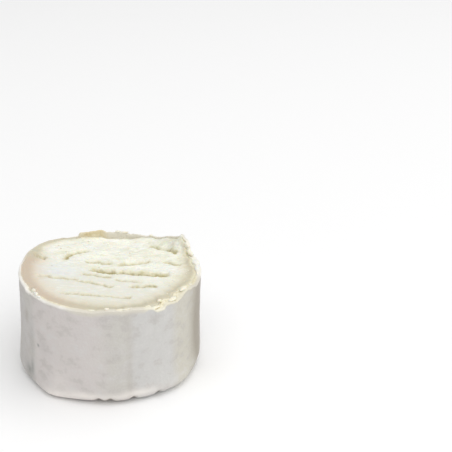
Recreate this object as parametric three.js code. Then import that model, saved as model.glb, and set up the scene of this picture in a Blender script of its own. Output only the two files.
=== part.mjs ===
// Goat cheese medallion: a thick slice with a bloomy rind, cut from the end of a round cheese. It
// stands on its natural end, which the rind covers, with the torn cut face up. It is one solid: the
// rind, the creamline under it and the crumbly paste are zones of one piece of cheese.
// Millimetres, +Z up, the front at -Y. The origin is on the table, under the middle of the piece.
// Angles are in degrees, anticlockwise from +X, seen from above.
import * as THREE from 'three';

const { degToRad, radToDeg, lerp, smoothstep, euclideanModulo } = THREE.MathUtils;

// Driving dimensions of the whole piece
const HEIGHT = 39.1;          // cut face above the table, at its middle
const CUT_RADIUS = 35;        // outline at the cut face
const BASE_RADIUS = 35.9;     // outline near the table, where the soft cheese has spread
const CUT_CENTRE_X = 1.28;    // the piece leans a little: its cut end lies to the right of its base
const BASE_CENTRE_X = -0.32;
const FALL_TO_RIGHT = 0.053;  // slopes of the cut, which wasn't made quite level
const FALL_TO_BACK = 0.038;
const EDGE_ROUND = 4.6;       // rounded lower edge of the natural end
const FOOT_INSET = 0.7;       // how far inside that rounding the flat foot begins

// The rind's cut edge
const RIND = 1.0;             // thickness of the rind's edge
const BEVEL = 0.3;            // its outer corner is blunted by this much
const GAP_WIDTH = 0.9;        // strip beside the rind where the creamline has shrunk
const SHRINKAGE = 0.25;       // that strip lies this far below the paste all round
const GAP = { from: -25, to: 30, before: 15, after: 15, depth: 0.8 };  // and deeper on the right

// The torn paste drops towards the back, where the rind is left standing. from and to are distances
// behind the middle, and the hollow narrows by so much for each millimetre that it goes back.
const BACK_HOLLOW = { middle: 2, narrowing: 0.6, from: 4, to: 30, drop: 2.5 };
// but beside the rind at the back right it climbs, over so many millimetres in from the rind
const CLIMB = { from: 45, to: 70, before: 12, after: 14, width: 3.2, share: 0.8 };

// Mesh density
const WEB_RINGS = 26;
const SEGMENTS = 6 * WEB_RINGS;
const WALL_BANDS = 9;
const EDGE_BANDS = 4;

// Stretches of the rim: how far the rind's edge rises above the flat cut, and leans out, between
// two angles. It fades over so many degrees before and after them.
const RIM_STRETCHES = [
  { from: 5, to: 21, before: 8, after: 4, rise: 0.8, out: 0 },
  { from: 36, to: 38, before: 9, after: 31, rise: 4.1, out: 1.2 },        // torn corner, left standing
  { from: 40, to: 41, before: 2, after: 2, rise: 1.2, out: 0 },           // and its tip
  { from: 77, to: 83, before: 4, after: 3, rise: -0.35, out: 0 },
  { from: 87, to: 91, before: 2, after: 3, rise: 0.45, out: 0 },
  { from: 103, to: 117, before: 5, after: 1.5, rise: 0.85, out: 0.2 },    // flap that ends in a step
  { from: 119, to: 125, before: 1, after: 6, rise: -0.6, out: 0 },
  { from: 142, to: 164, before: 12, after: 12, rise: 0.65, out: 0 },
  { from: 204, to: 210, before: 8, after: 3, rise: 0.4, out: 0 },
  { from: 213, to: 217, before: 2, after: 2, rise: -0.6, out: 0 },        // nick
  { from: 276, to: 291, before: 14, after: 12, rise: 1.15, out: 0 },      // left standing at the front
  { from: 304, to: 309, before: 3, after: 3, rise: -0.5, out: 0.8 },      // torn low and peeled out
  { from: 317.5, to: 319.5, before: 3, after: 2.5, rise: -0.5, out: 0 },
  { from: 328, to: 338, before: 8, after: 7, rise: 0.8, out: -0.4 },
];
// How ragged the edge is: calm where the knife went in, torn where it came out
const RAGGED_STRETCHES = [
  { from: 45, to: 115, before: 10, after: 5, amount: 0.25 },
  { from: 285, to: 385, before: 10, after: 10, amount: 0.35 },
];
const RAGGED_CALM = 0.1;
const RAGGED_CELLS = 60;
const RISE_ROW = 3;           // rows of the noise field that the rim reads
const OUT_ROW = 8;
const LEAN_FROM = 0.6;        // share of the wall's height where the rim's lean begins

// Tears in the cut face: each runs from one point to another, in millimetres from its centre.
const TEARS = [
  { from: [-6.5, -0.4], to: [0.5, -1.7], width: 1.5, depth: 1.5 },
  { from: [0.5, -1.5], to: [8, -1.9], width: 1.1, depth: 1.1 },
  { from: [8, -1.8], to: [21, -2], width: 1.5, depth: 1.7 },
  { from: [-30.9, 10.2], to: [-27, 7.5], width: 1.2, depth: 1.1 },
  { from: [-18.7, 8.3], to: [-16.8, 12.2], width: 1.3, depth: 0.9 },
  { from: [-16.8, 12.2], to: [-11.2, 15.8], width: 1.2, depth: 0.6 },
  { from: [-27, -7.4], to: [-12, -9.4], width: 1.0, depth: 0.6 },
  { from: [-11, -10], to: [1.8, -13.6], width: 1.0, depth: 0.6 },
  { from: [9.5, -12.9], to: [17.8, -11.7], width: 1.1, depth: 0.8 },
  { from: [3, -8.2], to: [12, -9.4], width: 1.0, depth: 0.5 },
  { from: [-10, -4], to: [0, -6.2], width: 1.1, depth: 0.6 },
  { from: [-16, -20.3], to: [9, -21.8], width: 1.0, depth: 0.5 },
  { from: [-9.5, 6.2], to: [-1, 5.4], width: 1.2, depth: 0.6 },
  { from: [3, 4.5], to: [13.5, 8.2], width: 1.2, depth: 0.8 },
  { from: [20.4, 9], to: [26.4, 7.2], width: 1.1, depth: 0.8 },
  { from: [13.9, 25.4], to: [17.4, 22], width: 1.3, depth: 0.7 },
  { from: [18.8, 20.6], to: [24.2, 17.2], width: 1.3, depth: 0.9 },
];
const TEAR_WANDER = 0.35;     // sideways wobble of a tear

// Chunks of rind and paste pulled up beside the rim, in millimetres from the cut's centre
const CHUNKS = [
  { at: [9, -31], radius: 1.5, height: 0.6 },
  { at: [20.5, -23.5], radius: 1.4, height: 1.1 },
  { at: [29.3, -15.8], radius: 1.7, height: 1.1 },
  { at: [31, 10], radius: 1.6, height: 0.9 },
  { at: [25.5, 20], radius: 3.6, height: 1.8 },    // paste that clings to the corner left standing
  { at: [-26, -18.6], radius: 1.3, height: 0.5 },
];

// Crumbly relief of the torn paste: smooth at the front left, rough at the back right
const CRUMBLE = { sideways: 0.35, from: -14, to: 8, smooth: 0.07, rough: 0.26 };
const CRUMB_LONG = 4.2;       // ripples run along X, as the tears do
const CRUMB_SHORT = 2.6;

// Hollows and swellings of the wall: centre angle and height, half-widths, and how far out
const WALL_FORMS = [
  { angle: 187, height: 8, wide: 32, high: 12, out: 0.6 },      // leans out at its foot
  { angle: 321, height: 3.5, wide: 18, high: 5, out: 1.7 },     // fold of rind near the table
  { angle: 268, height: 1.5, wide: 15, high: 3.5, out: -0.7 },
  { angle: 355, height: 24, wide: 22, high: 14, out: -0.45 },
  { angle: 289, height: 21, wide: 5, high: 26, out: -0.45 },    // upright crease
  { angle: 214, height: 5, wide: 9, high: 4, out: -0.5 },
  { angle: 140, height: 22, wide: 22, high: 18, out: 0.4 },
  { angle: 60, height: 12, wide: 14, high: 9, out: -0.5 },
  { angle: 154, height: 36, wide: 14, high: 20, out: 0.95 },    // fuller at the cut's back left
  { angle: 187, height: 24, wide: 24, high: 13, out: -0.4 },
  { angle: 236, height: 1.5, wide: 9, high: 3.5, out: 1.1 },
];
// Short folds where the rind tucks under at the front
const FOOT_FOLDS = { angles: [267.5, 275, 290, 306], height: 1.6, wide: 2.2, high: 1.7, out: -1.1 };
const WALL_WAVES = 0.32;      // amplitude of the wall's slow unevenness
const WALL_WAVE_CELLS = 14;
const WALL_WAVE_HEIGHT = 13;

// A repeatable random number from 0 to 1 for a whole-numbered place
function chance(i, j) {
  const s = Math.sin(i * 127.1 + j * 311.7 + 74.7) * 43758.5453;
  return s - Math.floor(s);
}

// Smooth noise from -1 to 1. With cells given, it repeats after that many steps in u.
function noise(u, v, cells = Infinity) {
  const i = Math.floor(u);
  const j = Math.floor(v);
  const wrap = (n) => (Number.isFinite(cells) ? euclideanModulo(n, cells) : n);
  const su = smoothstep(u - i, 0, 1);
  const sv = smoothstep(v - j, 0, 1);
  const low = lerp(chance(wrap(i), j), chance(wrap(i + 1), j), su);
  const high = lerp(chance(wrap(i), j + 1), chance(wrap(i + 1), j + 1), su);
  return 2 * lerp(low, high, sv) - 1;
}

// Shortest way from one angle to another, from -180 to 180
function turn(from, to) {
  return euclideanModulo(to - from + 180, 360) - 180;
}

// 1 inside a stretch of angles, fading to 0 beyond its ends
function within(angle, { from, to, before, after }) {
  const past = turn((from + to) / 2, angle);
  const half = (to - from) / 2;
  return past < 0 ? smoothstep(past, -half - before, -half) : 1 - smoothstep(past, half, half + after);
}

// How far the rind's edge rises above the flat cut, and leans out, at an angle
function rim(angle) {
  const torn = RAGGED_STRETCHES.reduce((sum, s) => sum + s.amount * within(angle, s), RAGGED_CALM);
  const step = (angle / 360) * RAGGED_CELLS;
  let rise = torn * noise(step, RISE_ROW, RAGGED_CELLS);
  let out = 0.5 * torn * noise(step, OUT_ROW, RAGGED_CELLS);
  for (const stretch of RIM_STRETCHES) {
    const share = within(angle, stretch);
    rise += share * stretch.rise;
    out += share * stretch.out;
  }
  return { rise, out };
}

// A rounded hollow or swelling of the wall: how far out it pushes the place at an angle and height
function swelling(angle, z, form) {
  const across = turn(form.angle, angle) / form.wide;
  const along = (z - form.height) / form.high;
  return form.out * Math.exp(-across * across - along * along);
}

// Radius of the wall about its own centre line
function wallRadius(angle, z) {
  let radius = lerp(BASE_RADIUS, CUT_RADIUS, z / HEIGHT);
  const cell = (angle / 360) * WALL_WAVE_CELLS;
  radius += WALL_WAVES * noise(cell, z / WALL_WAVE_HEIGHT, WALL_WAVE_CELLS);
  for (const form of WALL_FORMS) radius += swelling(angle, z, form);
  for (const fold of FOOT_FOLDS.angles) radius += swelling(angle, z, { ...FOOT_FOLDS, angle: fold });
  return radius;
}

function centreX(z) {
  return lerp(BASE_CENTRE_X, CUT_CENTRE_X, z / HEIGHT);
}

// Height of the flat cut at a place measured from its centre
function cutHeight(x, y) {
  return HEIGHT - FALL_TO_RIGHT * x - FALL_TO_BACK * y;
}

// How deep the tears go at a place
function tearDepth(x, y) {
  let depth = 0;
  for (const { from, to, width, depth: deepest } of TEARS) {
    const course = new THREE.Vector2(to[0] - from[0], to[1] - from[1]);
    const length = course.length();
    course.normalize();
    const place = new THREE.Vector2(x - from[0], y - from[1]);
    const forward = place.dot(course);
    const beyond = Math.max(-forward, forward - length, 0);
    const aside = place.cross(course) + TEAR_WANDER * noise(forward / 2, deepest * 10);
    const apart = Math.hypot(beyond, aside) / width;
    depth = Math.max(depth, deepest * Math.exp(-apart * apart));
  }
  return depth;
}

// How high the chunks stand at a place
function chunkHeight(x, y) {
  return CHUNKS.reduce((sum, { at, radius, height }) => {
    const apart = Math.hypot(x - at[0], y - at[1]) / radius;
    return sum + height * Math.exp(-apart * apart);
  }, 0);
}

// How far a place lies in the hollow at the back, from 0 to 1
function inHollow(x, y) {
  const { middle, narrowing, from, to } = BACK_HOLLOW;
  return smoothstep(y - narrowing * Math.abs(x - middle), from, to);
}

// How crumbly the paste is at a place, from 0 to 1
function crumbliness(x, y) {
  return smoothstep(y + CRUMBLE.sideways * x, CRUMBLE.from, CRUMBLE.to);
}

// Height of the torn paste at a place measured from the cut's centre
function pasteHeight(x, y) {
  const angle = radToDeg(Math.atan2(y, x));
  const inward = Math.max(CUT_RADIUS - RIND - Math.hypot(x, y), 0) / CLIMB.width;
  const climb = CLIMB.share * within(angle, CLIMB) * Math.exp(-inward * inward);
  const sag = lerp(BACK_HOLLOW.drop * inHollow(x, y), -rim(angle).rise, climb);
  const rough = lerp(CRUMBLE.smooth, CRUMBLE.rough, crumbliness(x, y));
  const crumb = rough * noise(x / CRUMB_LONG, y / CRUMB_SHORT);
  return cutHeight(x, y) - sag - tearDepth(x, y) + chunkHeight(x, y) + crumb;
}

// One ring of points round the piece, from a function of the angle
function ring(place, count = SEGMENTS) {
  return Array.from({ length: count }, (_, i) => place((360 * i) / count));
}

// A point at an angle and radius about the centre line at that height
function onWall(angle, radius, z, middle = centreX(z)) {
  const a = degToRad(angle);
  return new THREE.Vector3(middle + radius * Math.cos(a), radius * Math.sin(a), z);
}

// A point of the rim: inset is how far in it lies from the rind's outside, and height is a
// function of its place
function onRim(angle, inset, height) {
  const { out } = rim(angle);
  const radius = wallRadius(angle, HEIGHT) + out - inset;
  const a = degToRad(angle);
  const x = radius * Math.cos(a);
  const y = radius * Math.sin(a);
  return new THREE.Vector3(CUT_CENTRE_X + x, y, height(x, y));
}

// Rings from the foot up the rounded edge and the wall to the rind's outer top edge
function outsideRings() {
  const rings = [];
  for (let k = 0; k <= EDGE_BANDS; k++) {
    const round = (k / EDGE_BANDS) * (Math.PI / 2);
    const z = EDGE_ROUND * (1 - Math.cos(round));
    const inset = EDGE_ROUND * (1 - Math.sin(round)) + (k === 0 ? FOOT_INSET : 0);
    rings.push(ring((angle) => onWall(angle, wallRadius(angle, z) - inset, z)));
  }
  for (let k = 1; k <= WALL_BANDS; k++) {
    const share = k / WALL_BANDS;
    rings.push(ring((angle) => {
      const { rise, out } = rim(angle);
      const edge = onRim(angle, 0, (x, y) => cutHeight(x, y) + rise + chunkHeight(x, y));
      const top = edge.z - BEVEL;
      const z = lerp(EDGE_ROUND, top, share);
      const level = Math.min(z, HEIGHT);
      const lean = out * smoothstep(share, LEAN_FROM, 1);
      return onWall(angle, wallRadius(angle, level) + lean, z, centreX(level));
    }));
  }
  return rings;
}

// Rings over the rind's cut edge and down into the strip beside the creamline
function rimRings() {
  const crest = (angle) => (x, y) => cutHeight(x, y) + rim(angle).rise + chunkHeight(x, y);
  const beside = (angle) => (x, y) => pasteHeight(x, y) - SHRINKAGE - GAP.depth * within(angle, GAP);
  return [
    ring((angle) => onRim(angle, BEVEL, crest(angle))),
    ring((angle) => onRim(angle, RIND, crest(angle))),
    ring((angle) => onRim(angle, rim(angle).out + RIND + 0.5 * GAP_WIDTH, beside(angle))),
  ];
}

// The cut face as a web: ring k holds 6k points, so the triangles are alike all over
function webRings() {
  const rings = [];
  for (let k = WEB_RINGS; k >= 1; k--) {
    rings.push(ring((angle) => {
      const a = degToRad(angle);
      const reach = (wallRadius(angle, HEIGHT) - RIND - GAP_WIDTH) * (k / WEB_RINGS);
      const x = reach * Math.cos(a);
      const y = reach * Math.sin(a);
      return new THREE.Vector3(CUT_CENTRE_X + x, y, pasteHeight(x, y));
    }, 6 * k));
  }
  return rings;
}

// Joins two rings of the same or different counts with triangles facing out, by walking both round
function stitch(index, startA, countA, startB, countB) {
  let a = 0;
  let b = 0;
  while (a < countA || b < countB) {
    const nextA = startA + ((a + 1) % countA);
    const nextB = startB + ((b + 1) % countB);
    const atA = startA + (a % countA);
    const atB = startB + (b % countB);
    if (b === countB || (a < countA && (a + 0.5) / countA <= (b + 0.5) / countB)) {
      index.push(atA, nextA, atB);
      a++;
    } else {
      index.push(atB, atA, nextB);
      b++;
    }
  }
}

function cheeseGeometry() {
  const rings = [...outsideRings(), ...rimRings(), ...webRings()];
  const points = rings.flat();
  const index = [];
  let start = 0;
  rings.slice(0, -1).forEach((here, n) => {
    stitch(index, start, here.length, start + here.length, rings[n + 1].length);
    start += here.length;
  });

  const foot = points.push(new THREE.Vector3(BASE_CENTRE_X, 0, 0)) - 1;
  for (let i = 0; i < SEGMENTS; i++) index.push(foot, (i + 1) % SEGMENTS, i);

  const middle = points.push(new THREE.Vector3(CUT_CENTRE_X, 0, pasteHeight(0, 0))) - 1;
  const last = rings.at(-1).length;
  for (let i = 0; i < last; i++) index.push(middle, start + i, start + ((i + 1) % last));

  const geometry = new THREE.BufferGeometry().setFromPoints(points).setIndex(index);
  geometry.computeVertexNormals();
  return geometry;
}

const rindWhite = new THREE.MeshStandardMaterial({
  color: new THREE.Color().setRGB(0.9, 0.88, 0.82, THREE.SRGBColorSpace),
  roughness: 0.8,
  metalness: 0,
});

const cheese = new THREE.Mesh(cheeseGeometry(), rindWhite);
cheese.name = 'cheese_medallion';

const medallion = new THREE.Group();
medallion.name = 'goat_cheese_medallion';
medallion.add(cheese);

export default medallion;
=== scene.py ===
"""Looks of the goat cheese medallion: a thick slice with a bloomy rind, its torn cut face up.

The shapes are worked out in millimetres, in the frame of the CAD model, with the front at -Y and
angles in degrees anticlockwise from +X. They are turned to metres where a mesh is made.
"""
import itertools
import math

import bpy
import numpy as np
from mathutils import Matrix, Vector


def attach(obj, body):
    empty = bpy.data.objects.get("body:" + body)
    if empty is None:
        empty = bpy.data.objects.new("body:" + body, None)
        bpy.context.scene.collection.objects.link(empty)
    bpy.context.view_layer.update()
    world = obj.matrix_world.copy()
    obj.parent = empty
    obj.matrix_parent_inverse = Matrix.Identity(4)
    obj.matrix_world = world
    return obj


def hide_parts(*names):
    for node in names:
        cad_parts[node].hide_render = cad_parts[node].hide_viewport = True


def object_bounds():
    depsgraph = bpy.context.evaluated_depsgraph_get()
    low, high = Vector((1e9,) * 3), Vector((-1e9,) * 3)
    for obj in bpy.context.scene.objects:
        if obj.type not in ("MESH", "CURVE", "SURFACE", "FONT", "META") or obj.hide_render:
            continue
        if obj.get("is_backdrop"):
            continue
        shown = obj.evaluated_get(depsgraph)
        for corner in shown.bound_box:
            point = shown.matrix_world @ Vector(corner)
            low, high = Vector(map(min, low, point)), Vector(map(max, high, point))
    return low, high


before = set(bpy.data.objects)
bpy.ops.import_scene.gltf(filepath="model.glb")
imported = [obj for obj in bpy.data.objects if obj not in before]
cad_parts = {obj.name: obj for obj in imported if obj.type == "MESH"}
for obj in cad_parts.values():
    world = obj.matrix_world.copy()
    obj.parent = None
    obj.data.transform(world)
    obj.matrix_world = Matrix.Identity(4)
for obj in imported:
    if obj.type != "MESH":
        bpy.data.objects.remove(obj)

CAD_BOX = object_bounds()
NODE = "cheese_medallion"
METRES = 0.001

# The whole piece, as the CAD model has it
HEIGHT = 39.1
CUT_RADIUS = 35.0
BASE_RADIUS = 35.9
CUT_CENTRE_X = 1.28
BASE_CENTRE_X = -0.32
FALL_TO_RIGHT = 0.053
FALL_TO_BACK = 0.038
EDGE_ROUND = 4.6
FOOT_INSET = 0.7

# Stretches of the rim: how far the rind's edge rises above the flat cut, and leans out, between
# two angles. It fades over so many degrees before and after them.
RIM_STRETCHES = [
    dict(start=5, end=21, before=8, after=4, rise=0.8, out=0.0),
    dict(start=36, end=38, before=9, after=31, rise=4.1, out=1.2),
    dict(start=40, end=41, before=2, after=2, rise=1.2, out=0.0),
    dict(start=77, end=83, before=4, after=3, rise=-0.35, out=0.0),
    dict(start=87, end=91, before=2, after=3, rise=0.45, out=0.0),
    dict(start=103, end=117, before=5, after=1.5, rise=0.85, out=0.2),
    dict(start=119, end=125, before=1, after=6, rise=-0.6, out=0.0),
    dict(start=142, end=164, before=12, after=12, rise=0.65, out=0.0),
    dict(start=204, end=210, before=8, after=3, rise=0.4, out=0.0),
    dict(start=213, end=217, before=2, after=2, rise=-0.6, out=0.0),
    dict(start=276, end=291, before=14, after=12, rise=1.15, out=0.0),
    dict(start=304, end=309, before=3, after=3, rise=-0.5, out=0.8),
    dict(start=317.5, end=319.5, before=3, after=2.5, rise=-0.5, out=0.0),
    dict(start=328, end=338, before=8, after=7, rise=0.8, out=-0.4),
]

# Where the rind tore, so that its edge is ragged, and where in the noise its unevenness is read
RAGGED_STRETCHES = [
    dict(start=45, end=115, before=10, after=5, amount=0.25),
    dict(start=285, end=385, before=10, after=10, amount=0.35),
]
RAGGED_CALM = 0.1
RAGGED_CELLS = 60
RISE_ROW = 3
OUT_ROW = 8
LEAN_FROM = 0.6

# The gap where the rind has come away from the creamline on the right, and the slight groove
# where rind and creamline still hold together
GAP = dict(start=-25, end=30, before=15, after=15)
GAP_DEPTH = 0.4
GAP_WIDTH = 0.8
JOIN_DEPTH = 0.22
JOIN_WIDTH = 0.5

# The paste's level: it sinks towards the back, clings to the rind where that stands high, and
# climbs it along a stretch at the back right. The widths are distances from the rind.
BACK_HOLLOW = dict(middle=2, narrowing=0.6, start=4, end=30, drop=2.5)
CLIMB = dict(start=45, end=70, before=12, after=14, width=3.2, share=0.8)
CLING_WIDTH = 1.7
CLING_SHARE = 0.85
CLING_MOST = 9

# The crumb is smooth at the front left and rough at the back right
CRUMBLE = dict(sideways=0.35, start=-14, end=8, smooth=0.07, rough=0.26)
CRUMB_LONG = 4.2
CRUMB_SHORT = 2.6

# Tears in the cut face, in millimetres from its centre
TEARS = [
    dict(start=(-6.5, -0.4), end=(0.5, -1.7), width=1.5, depth=1.5),
    dict(start=(0.5, -1.5), end=(8, -1.9), width=1.1, depth=1.1),
    dict(start=(8, -1.8), end=(21, -2), width=1.5, depth=1.7),
    dict(start=(-30.9, 10.2), end=(-27, 7.5), width=1.2, depth=1.1),
    dict(start=(-18.7, 8.3), end=(-16.8, 12.2), width=1.3, depth=0.9),
    dict(start=(-16.8, 12.2), end=(-11.2, 15.8), width=1.2, depth=0.6),
    dict(start=(-27, -7.4), end=(-12, -9.4), width=1.0, depth=0.6),
    dict(start=(-11, -10), end=(1.8, -13.6), width=1.0, depth=0.6),
    dict(start=(9.5, -12.9), end=(17.8, -11.7), width=1.1, depth=0.8),
    dict(start=(3, -8.2), end=(12, -9.4), width=1.0, depth=0.5),
    dict(start=(-10, -4), end=(0, -6.2), width=1.1, depth=0.6),
    dict(start=(-16, -20.3), end=(9, -21.8), width=1.0, depth=0.5),
    dict(start=(-9.5, 6.2), end=(-1, 5.4), width=1.2, depth=0.6),
    dict(start=(3, 4.5), end=(13.5, 8.2), width=1.2, depth=0.8),
    dict(start=(20.4, 9), end=(26.4, 7.2), width=1.1, depth=0.8),
    dict(start=(13.9, 25.4), end=(17.4, 22), width=1.3, depth=0.7),
    dict(start=(18.8, 20.6), end=(24.2, 17.2), width=1.3, depth=0.9),
]
TEAR_WANDER = 0.35

# Chunks of paste beside the rim
CHUNKS = [
    dict(at=(9, -31), radius=1.5, height=0.6),
    dict(at=(20.5, -23.5), radius=1.4, height=1.1),
    dict(at=(29.3, -15.8), radius=1.7, height=1.1),
    dict(at=(31, 10), radius=1.6, height=0.9),
    dict(at=(25.5, 20), radius=3.6, height=1.8),
    dict(at=(-26, -18.6), radius=1.3, height=0.5),
]

# Hollows and swellings of the wall: centre angle and height, half-widths, and how far out
WALL_FORMS = [
    dict(angle=187, height=8, wide=32, high=12, out=0.6),
    dict(angle=321, height=3.5, wide=18, high=5, out=1.7),
    dict(angle=268, height=1.5, wide=15, high=3.5, out=-0.7),
    dict(angle=355, height=24, wide=22, high=14, out=-0.45),
    dict(angle=289, height=21, wide=5, high=26, out=-0.45),
    dict(angle=214, height=5, wide=9, high=4, out=-0.5),
    dict(angle=140, height=22, wide=22, high=18, out=0.4),
    dict(angle=60, height=12, wide=14, high=9, out=-0.5),
    dict(angle=154, height=36, wide=14, high=20, out=0.95),
    dict(angle=187, height=24, wide=24, high=13, out=-0.4),
    dict(angle=236, height=1.5, wide=9, high=3.5, out=1.1),
]
FOOT_FOLDS = dict(angles=(267.5, 275, 290, 306), height=1.6, wide=2.2, high=1.7, out=-1.1)
WALL_WAVES = 0.32
WALL_WAVE_CELLS = 14
WALL_WAVE_HEIGHT = 13

# The rind's edge and the creamline inside it. The edge is thin at the back and a broad torn crust
# at the front right. Each row is an angle, the edge's width, how far in from it the creamline
# reaches, and how strong the creamline is.
ZONES = [
    (0, 1.9, 5.4, 0.9),
    (15, 2.4, 4.4, 0.9),
    (27, 1.8, 3.0, 0.8),
    (36, 1.5, 2.0, 0.5),
    (46, 0.9, 1.4, 0.2),
    (55, 0.9, 1.0, 0.1),
    (75, 0.9, 0.9, 0.4),
    (90, 0.9, 0.8, 0.5),
    (110, 0.8, 1.4, 0.6),
    (135, 0.4, 2.0, 0.9),
    (150, 0.4, 2.6, 0.9),
    (157, 0.5, 4.8, 0.95),
    (166, 0.5, 6.8, 1.0),
    (180, 0.6, 6.2, 1.0),
    (195, 1.1, 6.2, 1.0),
    (210, 1.5, 5.4, 1.0),
    (225, 2.0, 5.0, 1.0),
    (240, 2.2, 4.8, 1.0),
    (270, 2.2, 5.2, 1.0),
    (285, 1.9, 5.4, 1.0),
    (297, 2.4, 5.0, 1.0),
    (304, 3.6, 4.6, 1.0),
    (315, 4.2, 4.2, 0.9),
    (330, 3.5, 4.4, 0.9),
    (345, 2.8, 5.4, 1.0),
]
RIND_BEVEL = 0.35
RIND_THICKNESS = 1.6          # where it is hidden, below the cut face
CRUST_LIP = 0.3               # how far the crust's inner edge stands above the creamline
SPILL = dict(thin=0.5, crust=0.8, muted=2.4)    # how far the cut edge's colour runs down the wall
PALE_PATCH = dict(at=(-19, -1), half=(11, 6))    # smoothest and palest part of the cut face

# The paste's hidden sides: how far in from the wall, and their heights
PASTE_INSET = 0.8
PASTE_BOTTOM = 2.0
PASTE_TOP = HEIGHT - 9
PASTE_SHOULDER = 1.5          # how far below the torn face's edge the sides turn in
PASTE_OVERLAP = 0.25          # how far the torn face reaches out under the rind
SKIN_BOTTOM = 2.5             # heights of the rind's hidden inner face
SKIN_TOP = HEIGHT - 10

# Fine relief that only the looks have, in millimetres
PASTE_CRUMBS = dict(size=(4.2, 1.5, 1.5), smooth=0.05, rough=0.34)
PASTE_GRAIN = dict(size=(1.3, 0.7, 0.7), smooth=0.02, rough=0.05)
FISSURES = dict(size=(7.0, 2.0, 2.0), half_width=0.07, depth=0.2)
CRUMB_SETS_IN = (0.8, 4)      # distances from the rind
TEAR_HOLLOW = 0.6             # how much of a tear's depth is its smooth hollow
TEAR_CORE = dict(narrow=0.55, dots=1.3, depth=0.65)
TEAR_HALO = 1.15
TEAR_WAVER = dict(broad=0.55, fine=0.3, hollow=0.4, halo=0.5)    # how raggedly the tears run
TEAR_LIP = dict(height=0.4, reach=1.5)    # how the torn edges are pulled up beside a tear
CHUNK_LUMPS = dict(more=0.8, most=1.5)    # how much lumpier the paste is on a chunk
WALL_GRAIN = dict(size=4.5, amount=0.10)
FUZZ_GRAIN = dict(size=1.1, amount=0.035)
TORN_GRAIN = dict(size=1.6, amount=0.24)
CUT_GRAIN = dict(size=1.4, amount=0.08)

# Flakes and nubs of rind on the rim: angle, how far in from the wall, height above the flat cut,
# half-sizes along the rim, across it and upwards, and how white it is
FLAKES = [
    dict(angle=310, inset=3.4, up=0.55, half=(0.9, 0.8, 0.6), white=0.3),
    dict(angle=331, inset=2.0, up=1.75, half=(2.1, 1.1, 0.6), white=0.3),
    dict(angle=303.5, inset=1.3, up=-0.4, half=(2.4, 0.9, 0.35), white=0.2),
    dict(angle=319, inset=1.9, up=0.1, half=(2.3, 1.1, 0.45), white=0.3),
    dict(angle=281.4, inset=0.9, up=1.1, half=(1.5, 0.6, 0.3), white=0.1),
    dict(angle=286, inset=1.0, up=1.15, half=(1.6, 0.5, 0.3), white=0.1),
    dict(angle=273.6, inset=1.5, up=1.25, half=(0.9, 0.7, 0.4), white=0.3),
    dict(angle=264, inset=1.9, up=0.1, half=(1.5, 0.4, 0.3), white=0.4),
    dict(angle=219, inset=1.5, up=0.5, half=(1.1, 0.7, 0.9), white=0.5),
    dict(angle=223, inset=0.9, up=0.3, half=(1.2, 0.7, 0.9), white=0.9),
    dict(angle=226.5, inset=0.8, up=0.1, half=(1.0, 0.6, 0.5), white=0.9),
    dict(angle=14, inset=1.1, up=0.6, half=(2.8, 1.4, 0.8), white=0.9),
    dict(angle=6, inset=1.1, up=0.4, half=(2.6, 1.3, 0.8), white=1.0),
    dict(angle=359, inset=1.1, up=0.3, half=(1.5, 0.7, 0.4), white=0.7),
    dict(angle=341, inset=2.0, up=0.4, half=(1.2, 0.6, 0.4), white=0.4),
    dict(angle=28.5, inset=0.8, up=1.0, half=(3.0, 0.9, 0.9), white=0.5),
    dict(angle=33.5, inset=0.5, up=2.9, half=(2.2, 0.8, 1.0), white=0.5),
    dict(angle=40.3, inset=0.3, up=4.9, half=(0.7, 0.5, 0.9), white=0.8),
    dict(angle=67, inset=0.4, up=0.5, half=(0.8, 0.5, 0.4), white=0.5),
    dict(angle=91, inset=0.4, up=0.3, half=(1.2, 0.5, 0.4), white=0.5),
    dict(angle=86, inset=0.5, up=0.2, half=(1.6, 0.5, 0.3), white=0.4),
]

# Loose crumbs of paste on the cut face
CRUMB_COUNT = 50
CRUMB_SIZES = (0.14, 0.28)
CRUMB_REACH = 31
CRUMB_STRETCH = (1.5, 1.0, 0.8)

# Marks on the wall, some of them painted light and shade: centre angle and height, half-widths, and
# strength
GREY_MARKS = [
    dict(angle=219.5, height=20, wide=3, high=9, out=0.3),
    dict(angle=214.5, height=5.8, wide=4.5, high=3.4, out=1.0),
    dict(angle=219, height=9.5, wide=2, high=3, out=0.5),
    dict(angle=226, height=21, wide=0.9, high=0.6, out=1.0),
    dict(angle=200, height=16, wide=12, high=40, out=0.15),
    dict(angle=231, height=22, wide=4, high=3, out=0.2),
]
BROWN_SPOTS_AND_PAINTED_SHADE = [
    # these two: painted shade and a painted brown reflection down the right edge of the wall
    dict(angle=347.5, height=21, wide=8, high=24, out=1.4),
    dict(angle=338, height=22, wide=6, high=22, out=0.3),
    # a real pinkish-brown spot
    dict(angle=213, height=30.5, wide=2.5, high=3, out=0.45),
    dict(angle=287, height=16, wide=2.2, high=22, out=0.22),
    # painted contact shadow along the bottom of the foot
    dict(angle=274, height=1.2, wide=11, high=0.9, out=0.6),
]
# Painted shade: dark brown in the crevices of the foot's folds
FOLD_SHADE_MARKS = dict(FOOT_FOLDS, height=1.7, wide=1.5, high=1.0, out=1.3)
# A paler lip low on the wall: partly the rind's own colour, partly painted light that offsets the shade
# on the foot's downturned rounding
PALE_LIP_AND_PAINTED_LIGHT = [
    dict(angle=272, height=3.6, wide=34, high=1.7, out=0.55),
    dict(angle=240, height=2.0, wide=12, high=2.0, out=0.65),
    dict(angle=292, height=5.0, wide=12, high=1.6, out=0.5),
    dict(angle=258, height=5.0, wide=9, high=1.8, out=0.5),
    dict(angle=243, height=8, wide=7, high=6, out=0.3),
]
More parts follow.
